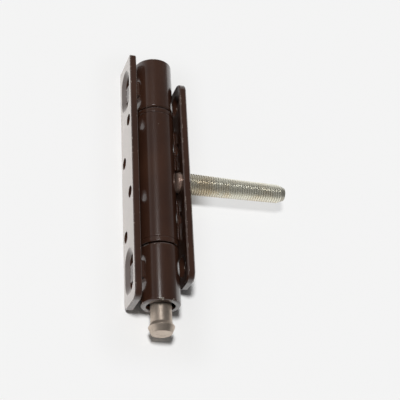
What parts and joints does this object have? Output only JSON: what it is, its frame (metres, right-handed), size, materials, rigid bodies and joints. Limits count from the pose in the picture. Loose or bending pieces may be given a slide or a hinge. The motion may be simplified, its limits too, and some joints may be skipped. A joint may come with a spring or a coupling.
{
  "type": "barrel hinge",
  "caption": "Barrel hinge for a door or window sash: painted frame plate with outer knuckles, middle knuckle on a round-cornered leaf with a threaded stud, and a loose steel pin.",
  "frame": {"origin": "middle of the frame plate's outer face", "axes": "+X from the frame plate through the barrel to the stud's tip, +Y along the barrel away from the pin's head, +Z across the plates, up as the hinge lies on its plate's long edge"},
  "size_m": [0.0974, 0.1739, 0.024],
  "materials": {
    "brown_paint": "glossy chocolate-brown paint, lightly worn at the edges",
    "zinc_steel": "bright zinc plating over a cut thread",
    "bare_steel": "bare turned steel"
  },
  "bodies": {
    "frame": {"frame_plate": "brown_paint", "upper_knuckle": "brown_paint", "lower_knuckle": "brown_paint", "upper_knuckle_welds": "brown_paint", "lower_knuckle_welds": "brown_paint"},
    "leaf": {"sash_leaf": "brown_paint", "middle_knuckle": "brown_paint", "upper_bush": "brown_paint", "lower_bush": "brown_paint", "leaf_welds": "brown_paint", "threaded_stud": "zinc_steel"},
    "pin": {"hinge_pin": "bare_steel"}
  },
  "joints": [
    {"name": "leaf_swing", "type": "hinge", "parent": "frame", "child": "leaf", "pos_m": [0.01755, 0, 0], "axis": [0, 1, 0], "range_deg": [-100, 100]},
    {"name": "pin_slide", "type": "slide", "parent": "frame", "child": "pin", "axis": [0, 1, 0], "range_m": [-0.14, 0.0159]}
  ]
}
